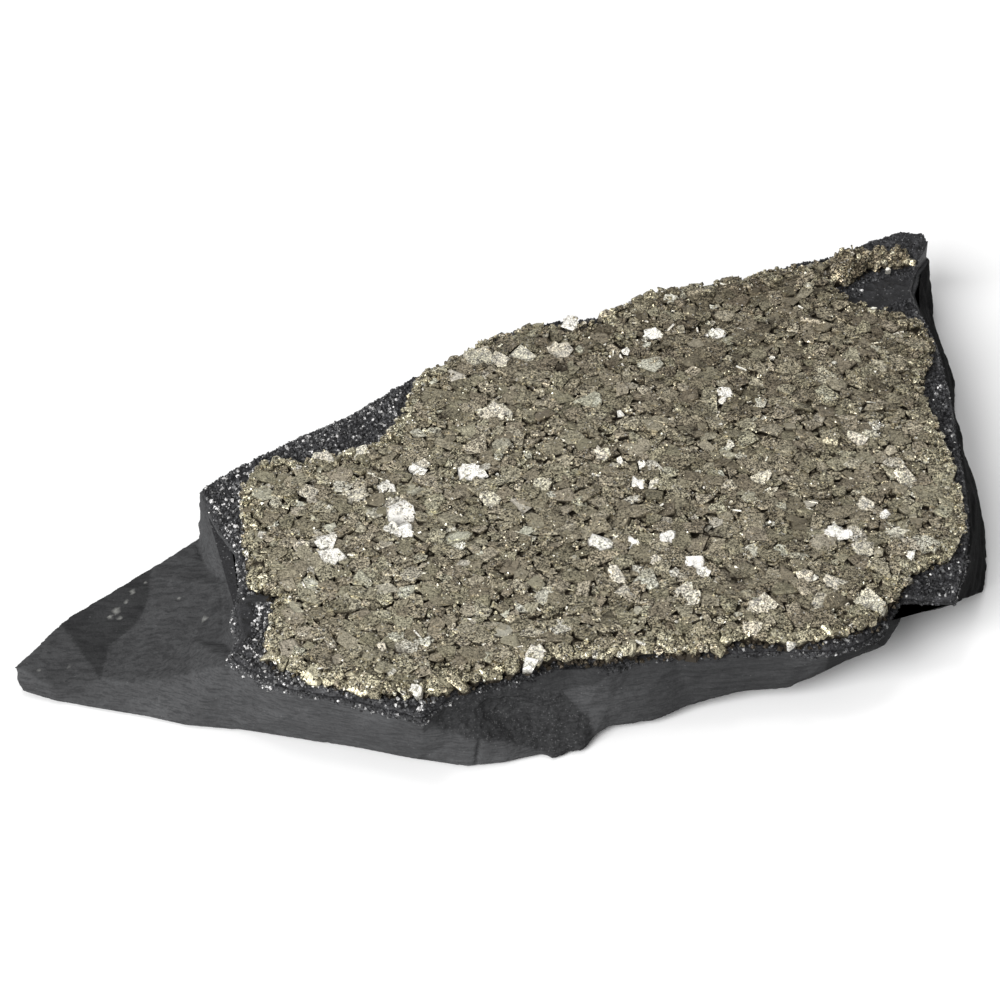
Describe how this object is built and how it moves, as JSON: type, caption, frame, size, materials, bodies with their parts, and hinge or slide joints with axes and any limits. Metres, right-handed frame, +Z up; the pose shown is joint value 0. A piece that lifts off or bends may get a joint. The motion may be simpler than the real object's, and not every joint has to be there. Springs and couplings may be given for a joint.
{
  "type": "pyrite on basalt",
  "caption": "Natural mineral specimen: a flat dark basalt slab with a pointed tongue, its top coated with a druse and a crust of intergrown pyrite crystals.",
  "frame": {"origin": "on the surface that the slab rests on, below the middle of the bounding box", "axes": "+X along the length, from the pointed tongue to the broad right side; +Y to the back; +Z up, out of the crystals"},
  "size_m": [0.392, 0.313, 0.0456],
  "materials": {
    "basalt": "matt, fine-grained, dark grey, with broken conchoidal faces and fine lamination",
    "druse": "black granular coat of tiny glinting crystals",
    "pyrite": "brown-grey tarnished metallic crystals with brighter faces and dark seams"
  },
  "bodies": {
    "root": {"basalt_slab": "basalt", "dark_druse": "druse", "pyrite_crust": "pyrite"}
  },
  "joints": []
}
